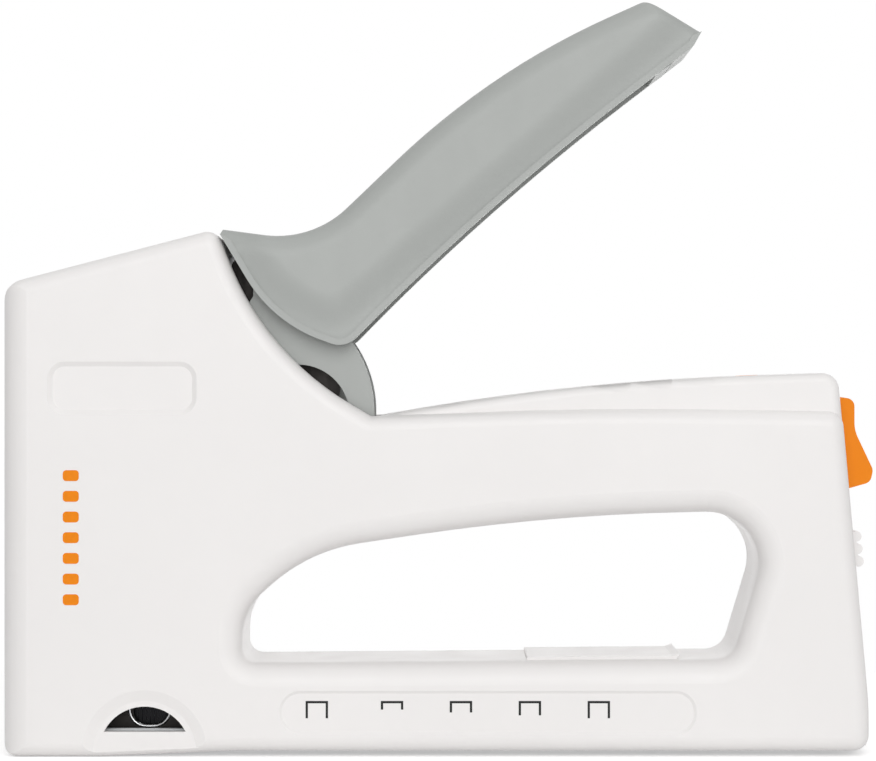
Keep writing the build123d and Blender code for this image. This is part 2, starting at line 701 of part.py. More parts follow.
def main_spring():
    """Compression spring between the ram's shelf and its seat."""
    low = SHELF_TOP + SPRING_WIRE + SEAM_GAP
    pitch = (SEAT_Z - SPRING_WIRE - SEAM_GAP - low) / SPRING_TURNS
    return Pos(SPRING_X, 0, 0) * wire_spring(coil(low, SPRING_RADIUS, pitch, SPRING_TURNS), SPRING_WIRE)


def spring_seat():
    """Plate with a spigot that backs the main spring."""
    plate = block(RAM_BACK + 0.3, SHELF_BACK + 0.5, -7, 7, SEAT_Z, SEAT_Z + SEAT_THICK)
    return plate + upright(SPRING_X, SPIGOT_RADIUS, SEAT_Z - 3, SEAT_Z)


def ram_bumper():
    """Rubber pad that stops the ram."""
    top = RAM_FOOT_Z - SIDE_GAP
    return block(BLADE_BACK + 0.4, BLADE_BACK + 6.0, -BLADE_HALF, BLADE_HALF, top - BUMPER_THICK, top)


def nose_plate():
    """Steel face in front of the blade."""
    back = BLADE_FRONT - SIDE_GAP
    return block(back - NOSE_PLATE_THICK, back, -CHANNEL_OUTER, CHANNEL_OUTER, 0.4, NOSE_PLATE_TOP)


def magazine_channel():
    """Sheet channel open below, flanged outward, with a sight hole on each side."""
    outer = block(CHANNEL_FRONT, CHANNEL_END, -CHANNEL_OUTER, CHANNEL_OUTER, CHANNEL_FOOT, CHANNEL_TOP)
    inner_top = CHANNEL_TOP - SHEET
    piece = outer - block(0, HEEL_X, -CHANNEL_INNER, CHANNEL_INNER, 0, inner_top)
    flange_z = BASE_Z + WALL + 0.05
    reach = CHANNEL_OUTER + FLANGE_REACH
    root = CHANNEL_INNER + SHEET / 2
    flange = block(CHANNEL_FRONT + 8, CHANNEL_END - 6, root, reach, flange_z, flange_z + SHEET)
    piece += on_both_sides(flange)
    hole = Pos(WINDOW[0] + 0.9, SIGHT_HOLE_Z) * Rot(0, 0, 90) * SlotOverall(*SIGHT_HOLE)
    return piece - slab(hole, -HALF_WIDTH, HALF_WIDTH)


def staple_strip():
    """Part-used stick of staples under the channel's top."""
    back = STRIP_FRONT + STRIP_LENGTH
    stick = block(STRIP_FRONT, back, -CROWN_HALF, CROWN_HALF, CROWN_TOP - STAPLE_LEG, CROWN_TOP)
    inside = CROWN_HALF - STAPLE_WIRE
    return stick - block(0, HEEL_X, -inside, inside, 0, CROWN_TOP - STAPLE_WIRE)


def staple_rail():
    """Core of the magazine that the staples straddle, slotted along its top."""
    back = rear_x(RAIL_TOP) - CAP_THICK
    piece = block(CHANNEL_FRONT + 0.4, back, -RAIL_HALF, RAIL_HALF, CHANNEL_FOOT + 0.4, RAIL_TOP)
    inner = RAIL_HALF - RAIL_SHEET
    piece -= block(0, HEEL_X, -inner, inner, 0, RAIL_TOP - RAIL_SHEET)
    return piece - block(12, back - 8, -1.2, 1.2, RAIL_TOP - 2, RAIL_TOP + 2)


def pusher():
    """Saddle over the rail, guided on the rod through the rail's slot."""
    leg = RAIL_HALF + FEED_GAP + STAPLE_WIRE + 0.2
    foot = CROWN_TOP - STAPLE_LEG + 1
    piece = block(PUSHER_FRONT, PUSHER_BACK, -leg, leg, foot, CROWN_TOP)
    inside = RAIL_HALF + FEED_GAP
    piece -= block(0, HEEL_X, -inside, inside, 0, RAIL_TOP + FEED_GAP)
    piece += block(PUSHER_FRONT + 1, PUSHER_BACK, -0.9, 0.9, ROD_Z, RAIL_TOP + 0.5)
    ring = Pos(0, 0, ROD_Z) * Rot(0, 90, 0) * Cylinder(2.7, PUSHER_LENGTH - 1)
    piece += Pos((PUSHER_FRONT + 1 + PUSHER_BACK) / 2, 0, 0) * ring
    bore = Pos(PUSHER_BACK, 0, ROD_Z) * Rot(0, 90, 0) * Cylinder(ROD_RADIUS + RUN_GAP, 4 * PUSHER_LENGTH)
    return piece - bore


def pusher_rod():
    """Guide rod from the end cap through the pusher."""
    front = PUSHER_FRONT - 7
    back = rear_x(ROD_Z) - CAP_THICK
    return Pos((front + back) / 2, 0, ROD_Z) * Rot(0, 90, 0) * Cylinder(ROD_RADIUS, back - front)


def pusher_spring():
    """Long feed spring on the rod behind the pusher."""
    front = PUSHER_BACK + FEED_WIRE + 0.1
    back = rear_x(ROD_Z) - CAP_THICK - FEED_WIRE - 0.1
    stations = coil(front, FEED_RADIUS, (back - front) / FEED_TURNS, FEED_TURNS)
    return Pos(0, 0, ROD_Z) * Rot(0, 90, 0) * wire_spring(stations, FEED_WIRE)


def magazine_end_cap():
    """Pull piece in the heel, flush with its rear face, with finger ribs at the top."""
    foot = BASE_Z + 0.5
    rear = [(rear_x(z), z, 0) for z in (CAP_TOP, HEEL_BEND_Z, foot)]
    front = [(x - CAP_THICK, z, 0) for x, z, r in reversed(rear)]
    piece = slab(outline(rear + front), -CAP_HALF, CAP_HALF)
    grip = CAP_HALF - 1
    heights = [CAP_TOP - 1.6 - i * CAP_RIB_PITCH for i in range(CAP_RIBS)]
    ledge = [(rear_x(z) - CAP_THICK / 2, z, 0) for z in (heights[-1] - 1.6, heights[0])]
    ledge += [(rear_x(z) + CAP_GRIP, z, 0) for z in (heights[0], heights[-1])]
    piece += slab(outline(ledge), -grip, grip)
    for z in heights:
        piece += rod_across((rear_x(z) + CAP_GRIP, z), CAP_RIB_RADIUS, -grip, grip)
    return piece


def lock_latch():
    """Rocker with a rear thumb button and a hook that rises over the lever's crossbar."""
    x, z = LATCH_PIVOT
    button = outline([
        (x + 1.5, z + 3.6, 1.0),
        (x + 6.2, z + 2.9, 1.5),
        (x + 6.2, z - 2.6, 6.0),
        (x + 9.5, z - 9.6, 1.8),
        (x + 9.0, z - 11.8, 1.5),
        (x + 3.4, z - 13.4, 1.0),
        (x + 1.2, z - 12.0, 1.0),
        (x + 2.2, z - 4.0, 3.0),
        (x - 1.0, z - 2.0, 1.0),
    ])
    hook = outline([
        (x + 2.0, z + 2.0, 0),
        (x - 11.6, z + 0.6, 2.0),
        (x - 12.2, z + 5.2, 0.6),
        (x - 10.4, z + 5.6, 0),
        (x - 10.4, z + 7.2, 0.5),
        (x - 15.3, z + 7.0, 1.5),
        (x - 15.0, z - 2.4, 3.0),
        (x + 2.0, z - 2.4, 0),
    ])
    piece = slab(button, -LATCH_HALF, LATCH_HALF)
    piece += slab(hook, -HOOK_HALF, HOOK_HALF)
    piece += rod_across(LATCH_PIVOT, LATCH_PIN_RADIUS + 1.6, -LATCH_HALF, LATCH_HALF)
    return piece - rod_across(LATCH_PIVOT, LATCH_PIN_RADIUS + RUN_GAP, -HALF_WIDTH, HALF_WIDTH)


def latch_pin():
    return rod_across(LATCH_PIVOT, LATCH_PIN_RADIUS, -LATCH_PIN_HALF, LATCH_PIN_HALF)


def housing_screws():
    return Compound(children=[screw(place, SCREW_RADIUS, SCREW_HEAD) for place in SCREWS])


def write(pieces):
    """One file for each piece, named after it."""
    os.makedirs("parts", exist_ok=True)
    for name, piece in pieces.items():
        export_step(piece, f"parts/{name}.step")


left_shell, right_shell = shells()
write({
    "left_shell": left_shell,
    "right_shell": right_shell,
    "housing_screws": housing_screws(),
    "lever": lever(),
    "lifter_arm": lifter_arm(),
    "lifter_pins": lifter_pins(),
    "lever_pivot_pin": lever_pivot_pin(),
    "lever_return_spring": lever_return_spring(),
    "ram": ram(),
    "driver_blade": driver_blade(),
    "ram_rivets": ram_rivets(),
    "main_spring": main_spring(),
    "spring_seat": spring_seat(),
    "ram_bumper": ram_bumper(),
    "nose_plate": nose_plate(),
    "magazine_channel": magazine_channel(),
    "staple_strip": staple_strip(),
    "staple_rail": staple_rail(),
    "pusher": pusher(),
    "pusher_rod": pusher_rod(),
    "pusher_spring": pusher_spring(),
    "magazine_end_cap": magazine_end_cap(),
    "lock_latch": lock_latch(),
    "latch_pin": latch_pin(),
})
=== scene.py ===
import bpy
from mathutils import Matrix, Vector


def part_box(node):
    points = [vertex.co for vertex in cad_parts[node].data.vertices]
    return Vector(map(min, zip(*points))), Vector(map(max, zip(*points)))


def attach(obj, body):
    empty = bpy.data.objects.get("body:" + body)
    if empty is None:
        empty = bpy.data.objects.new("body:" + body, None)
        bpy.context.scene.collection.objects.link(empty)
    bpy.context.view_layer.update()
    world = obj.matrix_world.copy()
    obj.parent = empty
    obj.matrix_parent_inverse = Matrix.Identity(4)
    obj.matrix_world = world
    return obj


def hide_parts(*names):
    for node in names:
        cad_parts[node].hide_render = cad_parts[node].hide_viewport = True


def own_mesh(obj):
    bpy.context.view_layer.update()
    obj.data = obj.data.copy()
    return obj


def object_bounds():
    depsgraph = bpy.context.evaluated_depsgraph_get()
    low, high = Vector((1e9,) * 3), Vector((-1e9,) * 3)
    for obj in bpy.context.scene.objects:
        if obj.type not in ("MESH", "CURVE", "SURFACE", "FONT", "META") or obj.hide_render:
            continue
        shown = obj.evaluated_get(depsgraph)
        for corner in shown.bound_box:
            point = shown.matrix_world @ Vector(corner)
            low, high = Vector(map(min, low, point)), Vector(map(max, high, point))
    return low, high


bl_info = {
    "name": "Staple gun looks",
    "version": (1, 0, 0),
    "blender": (4, 5, 0),
    "location": "3D View > Sidebar > Staple gun",
    "description": "Finishes, printed marks, staples and studio stage of a hand staple gun",
    "category": "Object",
}

import math

import bmesh
import bpy
from bpy.props import FloatProperty, FloatVectorProperty, IntProperty, PointerProperty
from mathutils import Vector

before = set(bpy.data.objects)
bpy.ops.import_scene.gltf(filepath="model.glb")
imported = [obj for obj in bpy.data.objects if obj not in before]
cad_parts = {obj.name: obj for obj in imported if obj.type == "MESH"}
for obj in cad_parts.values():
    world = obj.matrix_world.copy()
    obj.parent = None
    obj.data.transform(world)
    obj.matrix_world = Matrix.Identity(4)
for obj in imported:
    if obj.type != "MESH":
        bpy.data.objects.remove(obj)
CAD_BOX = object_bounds()
MM = 0.001

# Housing screws: the head's profile in shares of its thickness and of its radius, the cross in shares of
# the head's radius, the thread's tip and flank in shares of its radius and of its pitch
SCREWS_APART = 10 * MM
SCREW_SIDES = 20
SCREW_HEAD_THICK = 2.0 * MM
SCREW_HEAD_PROFILE = ((0, 1), (0.55, 1), (0.85, 0.93), (1, 0.78))
CROSS_DEPTH = 1.2 * MM
CROSS_REACH = 0.58
CROSS_HALF = 0.17
CROSS_FLOOR = 0.6
THREAD_CORE = 1.0 * MM
THREAD_DEPTH = 0.3 * MM
THREAD_TAPER = 3.0 * MM
THREAD_TIP = 0.3
THREAD_FLANK = 0.25
RINGS_PER_TURN = 4

# Sight holes, turned-up flanges and staples of the magazine
SIGHT_SPAN = (15.65 * MM, 22.9 * MM)
SIGHT_RISE = (4.82 * MM, 12.3 * MM)
SIGHT_ROUND = 3.0 * MM
SIGHT_STEPS = 8
BEAD_RADIUS = 0.23
BEAD_DEPTHS = (-0.1, 1.38)
LIP_SPAN = (10 * MM, 28.5 * MM)
STAPLE_EASE = 0.6

# Sections in millimetres: distance out of the hole and depth below the sheet's face for the collar and
# its beads, distance inside the flange's edge and height for its turned-up lip
COLLAR_SECTION = [(0.95, 0.02), (0.95, -0.08), (0, -0.08), (0, 1.38), (0.3, 1.38), (0.3, 0.02)]
BEAD_TURNS = [math.radians(angle) for angle in range(0, 360, 45)]
BEAD_SECTION = [(BEAD_RADIUS * math.cos(turn), BEAD_RADIUS * math.sin(turn)) for turn in BEAD_TURNS]
LIP_SECTION = [(0, 3.3), (0, 4.6), (0.1, 4.75), (0.3, 4.78), (0.42, 4.66), (0.42, 4.15)]

# Rounded rim along the top of the grip
RIM_SPAN = (80 * MM, 126 * MM)
RIM_FOOT = 62.2 * MM
RIM_INNER = 9.7 * MM
RIM_ROUND = 1.6 * MM
RIM_SLOPE = 0.06
RIM_SLACK = 0.01

# Side of the lever: ends of its lower edge, centre and radius of its front arc, and the crown inside them
LEVER_EDGE = (Vector((54.96, 0, 72.08)) * MM, Vector((114.1, 0, 123.15)) * MM)
LEVER_ARC = (Vector((56.9, 0, 98.0)) * MM, 26.8 * MM)
CROWN_BAND = (2.2 * MM, 8.8 * MM)
CROWN_RISE = 1.35 * MM
CROWN_BLEND = 3.0 * MM

# Web of the lever's far cheek, measured from the pivot; the arc is in degrees
WEB_CENTRE = (8.2 * MM, -0.7 * MM)
WEB_RADIUS = 9.0 * MM
WEB_ARC = (-22, 110.8)
WEB_STEP = 6
WEB_FOOT = (5.0 * MM, -5.4 * MM)
WEB_SIDES = (7.4 * MM, 9.4 * MM)

# Printed marks; each sign has a place along the base and a height, in millimetres
BAR_COUNT = 7
BAR_PITCH = 3.6 * MM
BAR_FOOT = 26.6 * MM
BAR_HEIGHT = 1.9 * MM
BAR_SPAN = (4.7 * MM, 7.5 * MM)
BAR_ROUND = 0.6 * MM
SIGN_TOP = 9.9 * MM
SIGN_WIDTH = 3.9 * MM
SIGNS = ((48.9, 3.0), (62.0, 1.5), (74.0, 2.0), (86.0, 2.5), (98.0, 3.0))

# Stretch of the grain in steel, which draws it out along one direction
LINES_ALONG = (0.06, 1, 1)
LINES_ACROSS = (1, 0.1, 1)
LINES_UP = (1, 1, 0.08)
LINES_IN_LEGS = (1, 1, 0.1)
LINES_IN_COILS = (0.5, 0.5, 1)

# How much lighter the arm's painted shade is than the channel's black
ARM_SHADE_LIGHTER = 2.4

# Stage: each lamp has a place and a width in metres and a power in watts
FLOOR_CENTRE = (0.07, -0.36, 0)
FLOOR_RADIUS = 0.5
FLOOR_SIDES = 96
SURROUND_LIGHT = 0.42
LAMP_TARGET = Vector((0.07, 0, 0.06))
LAMPS = {
    "key_softbox": ((0.16, -0.95, 0.42), 0.8, 5.4),
    "top_softbox": ((0.1, -0.1, 0.9), 0.6, 0.8),
    "rear_softbox": ((0.2, 0.9, 0.1), 0.7, 1.4),
}
CAMERA_X = 0.0700
CAMERA_Z = 0.0657
SENSOR_WIDTH = 36


def colour_prop(label, words, value):
    """A colour that a user may change."""
    return FloatVectorProperty(
        name=label, description=words, default=value, subtype="COLOR", size=3, min=0, max=1)


def length_prop(label, words, value):
    """A length in metres that a user may change."""
    return FloatProperty(name=label, description=words, default=value, unit="LENGTH", min=0)


class GunColours(bpy.types.PropertyGroup):
    """Colours of the finishes."""
    shell: colour_prop("Shell", "Moulded white of the housing", (0.86, 0.84, 0.83))
    lever: colour_prop("Lever", "Satin grey of the squeeze lever", (0.394, 0.409, 0.394))
    lock: colour_prop("Lock", "Orange of the handle lock", (0.87, 0.245, 0.004))
    bars: colour_prop("Bars", "Orange print on the column", (0.87, 0.245, 0.004))
    ink: colour_prop("Ink", "Black print on the base", (0.02, 0.02, 0.02))
    # Near-black painted shade for the channel, its sight-hole collars and the arm, where they lie in
    # shadow
    black: colour_prop("Black steel", "Blackened sheet of channel and arm", (0.028, 0.026, 0.025))
    # Near-black painted shade for the staples, which lie in shadow behind the sight holes
    staples: colour_prop("Staples", "Lacquered wire of the staples", (0.014, 0.014, 0.015))
    zinc: colour_prop("Zinc", "Bright plated sheet and pins", (0.68, 0.69, 0.70))
    oiled: colour_prop("Oiled steel", "Hardened striker and pusher", (0.30, 0.305, 0.31))
    wire: colour_prop("Spring wire", "Drawn wire of the springs", (0.50, 0.51, 0.52))
    rubber: colour_prop("Rubber", "Bumper under the ram", (0.03, 0.03, 0.032))
    floor: colour_prop("Floor", "Pale studio floor", (0.93, 0.93, 0.93))


class GunSizes(bpy.types.PropertyGroup):
    """Sizes of what the scene adds, and of the view."""
    staple_count: IntProperty(name="Staples", description="Staples in the stick", default=51, min=1)
    staple_gap: length_prop("Staple gap", "Shadow line between two staples", 0.00006)
    print_depth: length_prop("Print", "Thickness of the printed marks", 0.00003)
    pad_depth: length_prop("Pad", "Depth of the label pad on the base", 0.00035)
    thread_pitch: length_prop("Thread", "Pitch of the housing screws", 0.0012)
    sign_line: length_prop("Line", "Line width of the staple signs", 0.0004)
    floor_glow: FloatProperty(
        name="Floor glow", description="White that the floor shows the camera", default=0.42,
        subtype="FACTOR", min=0, max=1)
    camera_distance: length_prop("Camera", "Camera to the near side of the body", 0.50)
    view_width: length_prop("View", "Width that the picture shows at the near side", 0.1524)


def colours():
    """The colours as set in the scene."""
    return bpy.context.scene.gun_colours


def sizes():
    """The sizes as set in the scene."""
    return bpy.context.scene.gun_sizes


def new_material(name):
    """Empty node material: the material, its tree and its shader."""
    material = bpy.data.materials.new(name)
    material.use_nodes = True
    tree = material.node_tree
    return material, tree, tree.nodes["Principled BSDF"]


def add_node(tree, kind, settings=None, **inputs):
    """A node with attributes and input values; spaces in input names are written as underscores."""
    made = tree.nodes.new(kind)
    for key, value in (settings or {}).items():
        setattr(made, key, value)
    for key, value in inputs.items():
        made.inputs[key.replace("_", " ")].default_value = value
    return made


def noise(tree, scale, detail, stretch=(1, 1, 1)):
    """Noise fixed to the piece, with the given number of grains per metre."""
    place = add_node(tree, "ShaderNodeTexCoord")
    mapping = add_node(tree, "ShaderNodeMapping", Scale=stretch)
    grain = add_node(tree, "ShaderNodeTexNoise", Scale=scale, Detail=detail, Roughness=0.6)
    tree.links.new(place.outputs["Object"], mapping.inputs["Vector"])
    tree.links.new(mapping.outputs["Vector"], grain.inputs["Vector"])
    return grain.outputs["Fac"]


def shade(colour, factor):
    """A colour made darker or lighter."""
    return tuple(min(1.0, c * factor) for c in colour)


def mottle(tree, shader, source, colour, dark, light):
    """Varies the base colour between a darker and a lighter share of it by a noise."""
    made = add_node(tree, "ShaderNodeMix", {"data_type": "RGBA"})
    factor, first, second = made.inputs[0], made.inputs[6], made.inputs[7]
    first.default_value = (*shade(colour, dark), 1)
    second.default_value = (*shade(colour, light), 1)
    tree.links.new(source, factor)
    tree.links.new(made.outputs[2], shader.inputs["Base Color"])


def roughen(tree, shader, source, low, high):
    """Varies the roughness between two values by the middle of a noise."""
    made = add_node(tree, "ShaderNodeMapRange", From_Min=0.3, From_Max=0.7, To_Min=low, To_Max=high)
    tree.links.new(source, made.inputs["Value"])
    tree.links.new(made.outputs["Result"], shader.inputs["Roughness"])


def emboss(tree, shader, heights):
    """Chains bumps (source, strength, depth) into the shader's normal."""
    last = None
    for source, strength, depth in heights:
        bump = add_node(tree, "ShaderNodeBump", Strength=strength, Distance=depth)
        tree.links.new(source, bump.inputs["Height"])
        if last:
            tree.links.new(last, bump.inputs["Normal"])
        last = bump.outputs["Normal"]
    tree.links.new(last, shader.inputs["Normal"])


def join(tree, kind, operation, source, other):
    """A maths node between a socket and a second socket or constant."""
    made = add_node(tree, kind, {"operation": operation})
    tree.links.new(source, made.inputs[0])
    if isinstance(other, bpy.types.NodeSocket):
        tree.links.new(other, made.inputs[1])
    else:
        made.inputs[1].default_value = other
    return made


def number(tree, operation, source, other):
    """Output of a maths node for numbers."""
    return join(tree, "ShaderNodeMath", operation, source, other).outputs["Value"]


def vector(tree, operation, source, other, output="Vector"):
    """Output of a maths node for vectors, itself a vector unless Value is asked for."""
    return join(tree, "ShaderNodeVectorMath", operation, source, other).outputs[output]


def lever_crown(tree):
    """Height of the lever's crowned sides, which fall away towards the lower edge and the front arc."""
    start, end = LEVER_EDGE
    centre, radius = LEVER_ARC
    along = (end - start).normalized()
    inward = Vector((-along.z, 0, along.x))
    place = add_node(tree, "ShaderNodeTexCoord").outputs["Object"]
    flat = vector(tree, "MULTIPLY", place, (1, 0, 1))
    above = vector(tree, "SUBTRACT", flat, start)
    from_edge = vector(tree, "DOT_PRODUCT", above, inward, "Value")
    offset = vector(tree, "SUBTRACT", flat, centre)
    ahead = vector(tree, "DOT_PRODUCT", offset, along, "Value")
    before = number(tree, "MINIMUM", ahead, 0)
    aside = vector(tree, "DOT_PRODUCT", offset, inward, "Value")
    corner = add_node(tree, "ShaderNodeCombineXYZ")
    tree.links.new(before, corner.inputs["X"])
    tree.links.new(aside, corner.inputs["Z"])
    reach = vector(tree, "DISTANCE", corner.outputs["Vector"], (0, 0, 0), "Value")
    beyond = number(tree, "SUBTRACT", reach, radius)
    from_arc = number(tree, "MULTIPLY", beyond, -1)
    nearest = join(tree, "ShaderNodeMath", "SMOOTH_MIN", from_edge, from_arc)
    nearest.inputs[2].default_value = CROWN_BLEND
    low, high = CROWN_BAND
    rise = add_node(tree, "ShaderNodeMapRange", {"interpolation_type": "SMOOTHSTEP"},
                    From_Min=low, From_Max=high, To_Min=0, To_Max=CROWN_RISE)
    tree.links.new(nearest.outputs["Value"], rise.inputs["Value"])
    return rise.outputs["Result"]


def moulded_plastic(name, colour, rough, grain_depth, gloss, form=None):
    """Satin moulded plastic: eroded grain, faint flow marks and rubbed patches, on a form if given."""
    material, tree, shader = new_material(name)
    flow = noise(tree, scale=28, detail=4)
    grain = noise(tree, scale=2600, detail=2)
    rub = noise(tree, scale=160, detail=5, stretch=(1, 1, 0.35))
    mottle(tree, shader, flow, colour, dark=0.965, light=1.015)
    roughen(tree, shader, rub, low=rough - 0.05, high=rough + 0.07)
    heights = [(flow, 0.05, 0.12 * MM), (grain, 0.35, grain_depth)]
    if form:
        # Full strength and no scale, because a form's height is in metres already
        heights.insert(0, (form(tree), 1, 1))
    emboss(tree, shader, heights)
    shader.inputs["Specular IOR Level"].default_value = gloss
    return material


def sheet_steel(name, colour, rough, along):
    """Rolled or drawn steel with fine lines along one direction."""
    material, tree, shader = new_material(name)
    lines = noise(tree, scale=900, detail=3, stretch=along)
    bloom = noise(tree, scale=90, detail=4)
    mottle(tree, shader, bloom, colour, dark=0.82, light=1.08)
    roughen(tree, shader, lines, low=rough - 0.08, high=rough + 0.12)
    emboss(tree, shader, [(lines, 0.25, 0.02 * MM)])
    shader.inputs["Metallic"].default_value = 1.0
    shader.inputs["Anisotropic"].default_value = 0.4
    return material


def rubber_finish(name, colour):
    """Matt rubber with a dusty bloom."""
    material, tree, shader = new_material(name)
    dust = noise(tree, scale=300, detail=5)
    grain = noise(tree, scale=2200, detail=2)
    mottle(tree, shader, dust, colour, dark=0.8, light=1.5)
    roughen(tree, shader, dust, low=0.7, high=0.9)
    emboss(tree, shader, [(grain, 0.4, 0.04 * MM)])
    return material


def printed_ink(name, colour):
    """Pad-printed ink, slightly uneven."""
    material, tree, shader = new_material(name)
    cover = noise(tree, scale=1500, detail=3)
    mottle(tree, shader, cover, colour, dark=0.9, light=1.1)
    roughen(tree, shader, cover, low=0.4, high=0.55)
    emboss(tree, shader, [(cover, 0.15, 0.01 * MM)])
    shader.inputs["Specular IOR Level"].default_value = 0.15
    return material


def studio_paper(name, colour):
    """Matt paper that shows the camera some white of its own and still takes a shadow."""
    material, tree, shader = new_material(name)
    fibre = noise(tree, scale=120, detail=4)
    mottle(tree, shader, fibre, colour, dark=0.985, light=1)
    shader.inputs["Roughness"].default_value = 0.9
    shader.inputs["Specular IOR Level"].default_value = 0.1
    shader.inputs["Emission Color"].default_value = (1, 1, 1, 1)
    glow = seen_rays(tree, unseen=0, seen=sizes().floor_glow)
    tree.links.new(glow, shader.inputs["Emission Strength"])
    return material


def seen_rays(tree, unseen, seen):
    """One level for rays from the camera, gloss or glass and another for all other rays."""
    path = add_node(tree, "ShaderNodeLightPath")
    level = path.outputs["Is Camera Ray"]
    for kind in ("Is Glossy Ray", "Is Transmission Ray"):
        level = number(tree, "MAXIMUM", level, path.outputs[kind])
    choice = add_node(tree, "ShaderNodeMapRange", To_Min=unseen, To_Max=seen)
    tree.links.new(level, choice.inputs["Value"])
    return choice.outputs["Result"]


def finish_nodes(material, *names):
    """Gives CAD nodes a finish."""
    for name in names:
        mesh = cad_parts[name].data
        mesh.materials.clear()
        mesh.materials.append(material)


def link_object(name, data):
    """A new object in the scene."""
    made = bpy.data.objects.new(name, data)
    bpy.context.collection.objects.link(made)
    return made


def riding_piece(mesh, name, body):
    """A named piece that rides on a body and takes its finish from a slot."""
    piece = link_object(name, mesh)
    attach(piece, body)
    return piece


def built_mesh(builder, name, material):
    """Turns a bmesh into a mesh with one finish."""
    mesh = bpy.data.meshes.new(name)
    builder.to_mesh(mesh)
    builder.free()
    mesh.materials.append(material)
    return mesh


def piece_from(builder, name, material, body):
    """Turns a bmesh into a named piece that rides on a body."""
    bmesh.ops.recalc_face_normals(builder, faces=builder.faces)
    return riding_piece(built_mesh(builder, name, material), name, body)


def add_slab(builder, front, back):
    """A closed slab between two like polygons."""
    near = [builder.verts.new(point) for point in front]
    far = [builder.verts.new(point) for point in back]
    builder.faces.new(near)
    builder.faces.new(far[::-1])
    for i in range(len(near)):
        builder.faces.new((near[i - 1], far[i - 1], far[i], near[i]))


def add_prism(builder, corners, y_low, y_high):
    """A side-view polygon of (x, z) corners, thickened across the body."""
    add_slab(builder, [(x, y_low, z) for x, z in corners], [(x, y_high, z) for x, z in corners])


def add_tube(builder, rings, closed=False):
    """Faces between rings of points that have equal counts; closed joins the last ring to the first."""
    loops = [[builder.verts.new(point) for point in ring] for ring in rings]
    pairs = list(zip(loops, loops[1:]))
    if closed:
        pairs.append((loops[-1], loops[0]))
    for low, high in pairs:
        for i in range(len(low)):
            builder.faces.new((low[i - 1], low[i], high[i], high[i - 1]))
    return loops


def node_points(name):
    """Corners of a CAD node's mesh at rest."""
    return [vertex.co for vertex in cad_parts[name].data.vertices]


def staple_sign(x, top, width, height, line):
    """Corners of a staple's outline, open below."""
    left, right, foot = x - width / 2, x + width / 2, top - height
    return [
        (left, foot), (left, top), (right, top), (right, foot),
        (right - line, foot), (right - line, top - line), (left + line, top - line), (left + line, foot),
    ]


def rounded_bar(x_low, x_high, z_low, z_high, radius, steps=5):
    """Corners of a bar with round corners."""
    corners = []
    centres = [(x_high - radius, z_high - radius, 0), (x_low + radius, z_high - radius, 90),
               (x_low + radius, z_low + radius, 180), (x_high - radius, z_low + radius, 270)]
    for x, z, start in centres:
        for i in range(steps + 1):
            angle = math.radians(start + 90 * i / steps)
            corners.append((x + radius * math.cos(angle), z + radius * math.sin(angle)))
    return corners


class GUN_OT_housing(bpy.types.Operator):
    """Finishes both shells and the magazine's end cap in moulded white, and evens the grip's rim."""
    bl_idname = "gun.housing"
    bl_label = "Housing"

    def execute(self, context):
        white = moulded_plastic(
            "shell_white", colours().shell, rough=0.42, grain_depth=0.02 * MM, gloss=0.45)
        finish_nodes(white, "left_shell", "right_shell", "magazine_end_cap")
        self.even_rim("left_shell", "near_shell")
        self.even_rim("right_shell", "far_shell")
        return {"FINISHED"}

    def even_rim(self, node, name):
        """A copy of a shell with true normals on the grip's rim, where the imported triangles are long."""
        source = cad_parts[node].data
        mesh = source.copy()
        normals = [corner.vector.copy() for corner in source.corner_normals]
        for loop in source.loops:
            x, y, z = source.vertices[loop.vertex_index].co
            out = (abs(y) - RIM_INNER) / RIM_ROUND
            if RIM_SPAN[0] < x < RIM_SPAN[1] and z > RIM_FOOT and out > -RIM_SLACK:
                out = min(1, max(0, out))
                up = math.sqrt(1 - out * out)
                normal = Vector((-RIM_SLOPE * up, math.copysign(out, y), up))
                normals[loop.index] = normal.normalized()
        mesh.normals_split_custom_set(normals)
        piece = riding_piece(mesh, name, "housing")
        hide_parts(node)


class GUN_OT_lever(bpy.types.Operator):
    """Finishes the squeeze lever in satin grey and closes its far cheek."""
    bl_idname = "gun.lever"
    bl_label = "Lever"

    def execute(self, context):
        grey = moulded_plastic(
            "lever_grey", colours().lever, rough=0.46, grain_depth=0.03 * MM, gloss=0.45,
            form=lever_crown)
        finish_nodes(grey, "lever")
        self.close_far_cheek(grey)
        return {"FINISHED"}

    def close_far_cheek(self, grey):
        """Thin web in the far cheek, opposite the cut-out of the near one."""
        low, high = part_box("lever_pivot_pin")
        pivot = (low + high) / 2
        start, end = WEB_ARC
        x, z = WEB_CENTRE
        corners = [WEB_FOOT]
        for angle in range(start, math.ceil(end), WEB_STEP):
            turn = math.radians(angle)
            corners.append((x + WEB_RADIUS * math.cos(turn), z + WEB_RADIUS * math.sin(turn)))
        builder = bmesh.new()
        add_prism(builder, [(pivot.x + x, pivot.z + z) for x, z in corners], *WEB_SIDES)
        piece_from(builder, "far_cheek_web", grey, "lever")


class GUN_OT_lock(bpy.types.Operator):
    """Finishes the handle lock in orange."""
    bl_idname = "gun.lock"
    bl_label = "Handle lock"

    def execute(self, context):
        orange = moulded_plastic(
            "lock_orange", colours().lock, rough=0.38, grain_depth=0.02 * MM, gloss=0.15)
        finish_nodes(orange, "lock_latch")
        return {"FINISHED"}


